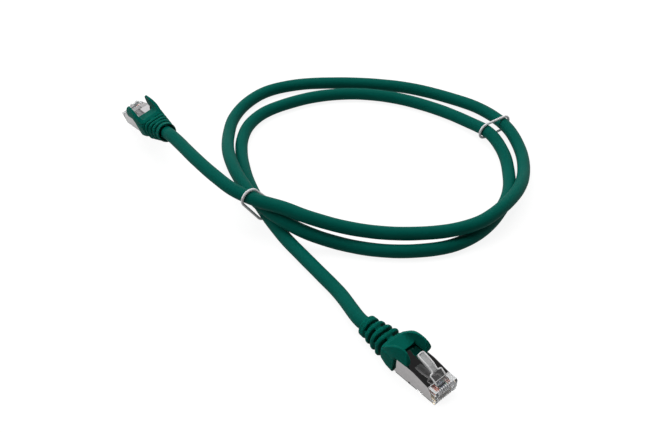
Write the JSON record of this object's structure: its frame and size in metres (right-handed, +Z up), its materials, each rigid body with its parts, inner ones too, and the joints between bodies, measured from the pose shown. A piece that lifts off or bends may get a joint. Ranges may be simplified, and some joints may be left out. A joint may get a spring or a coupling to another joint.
{
  "type": "ethernet patch cable",
  "caption": "Green shielded network patch cable in loose turns held by white wire ties, with clear modular plugs, springy latches and moulded strain-relief boots.",
  "frame": {"origin": "bottom centre of the box round the two plugs, without the cable and its ties", "axes": "+Z up from the surface that the cable lies on; +X to the right and +Y away from the viewer of the picture"},
  "size_m": [0.2048, 0.2147, 0.023],
  "materials": {
    "clear_polycarbonate": "clear moulded polycarbonate",
    "clear_latch": "clear moulded polycarbonate, slightly frosted",
    "plated_shell": "bright nickel-plated sheet",
    "gold_contact": "gold-plated, bright",
    "wire_white_orange": "satin insulation",
    "wire_orange": "satin insulation",
    "wire_white_green": "satin insulation",
    "wire_blue": "satin insulation",
    "wire_white_blue": "satin insulation",
    "wire_green": "satin insulation",
    "wire_white_brown": "satin insulation",
    "wire_brown": "satin insulation",
    "load_bar_plastic": "natural moulded plastic",
    "tinned_braid": "tinned copper braid",
    "tinned_ferrule": "dull tinned sheet",
    "green_pvc": "satin moulded green PVC",
    "green_jacket": "satin extruded green PVC",
    "white_tie": "white plastic-coated wire"
  },
  "bodies": {
    "root": {"housing_a": "clear_polycarbonate", "shell_a": "plated_shell", "contact_1_a": "gold_contact", "contact_2_a": "gold_contact", "contact_3_a": "gold_contact", "contact_4_a": "gold_contact", "contact_5_a": "gold_contact", "contact_6_a": "gold_contact", "contact_7_a": "gold_contact", "contact_8_a": "gold_contact", "wire_1_white_orange_a": "wire_white_orange", "wire_2_orange_a": "wire_orange", "wire_3_white_green_a": "wire_white_green", "wire_4_blue_a": "wire_blue", "wire_5_white_blue_a": "wire_white_blue", "wire_6_green_a": "wire_green", "wire_7_white_brown_a": "wire_white_brown", "wire_8_brown_a": "wire_brown", "load_bar_a": "load_bar_plastic", "screen_a": "tinned_braid", "ferrule_a": "tinned_ferrule", "boot_a": "green_pvc", "housing_b": "clear_polycarbonate", "shell_b": "plated_shell", "contact_1_b": "gold_contact", "contact_2_b": "gold_contact", "contact_3_b": "gold_contact", "contact_4_b": "gold_contact", "contact_5_b": "gold_contact", "contact_6_b": "gold_contact", "contact_7_b": "gold_contact", "contact_8_b": "gold_contact", "wire_1_white_orange_b": "wire_white_orange", "wire_2_orange_b": "wire_orange", "wire_3_white_green_b": "wire_white_green", "wire_4_blue_b": "wire_blue", "wire_5_white_blue_b": "wire_white_blue", "wire_6_green_b": "wire_green", "wire_7_white_brown_b": "wire_white_brown", "wire_8_brown_b": "wire_brown", "load_bar_b": "load_bar_plastic", "screen_b": "tinned_braid", "ferrule_b": "tinned_ferrule", "boot_b": "green_pvc", "cable_jacket": "green_jacket", "tie_left": "white_tie", "tie_right": "white_tie"},
    "latch_a": {"latch_a": "clear_latch"},
    "latch_b": {"latch_b": "clear_latch"}
  },
  "joints": [
    {"name": "latch_a_press", "type": "hinge", "parent": "root", "child": "latch_a", "pos_m": [0.07198, -0.08618, 0.0077], "axis": [-0.7385, -0.6743, 0], "range_deg": [0, 15], "stiffness_Nm_per_rad": 0.15},
    {"name": "latch_b_press", "type": "hinge", "parent": "root", "child": "latch_b", "pos_m": [-0.07278, 0.08662, 0.00906], "axis": [0.7679, 0.5945, 0.2386], "range_deg": [0, 15], "stiffness_Nm_per_rad": 0.15}
  ]
}
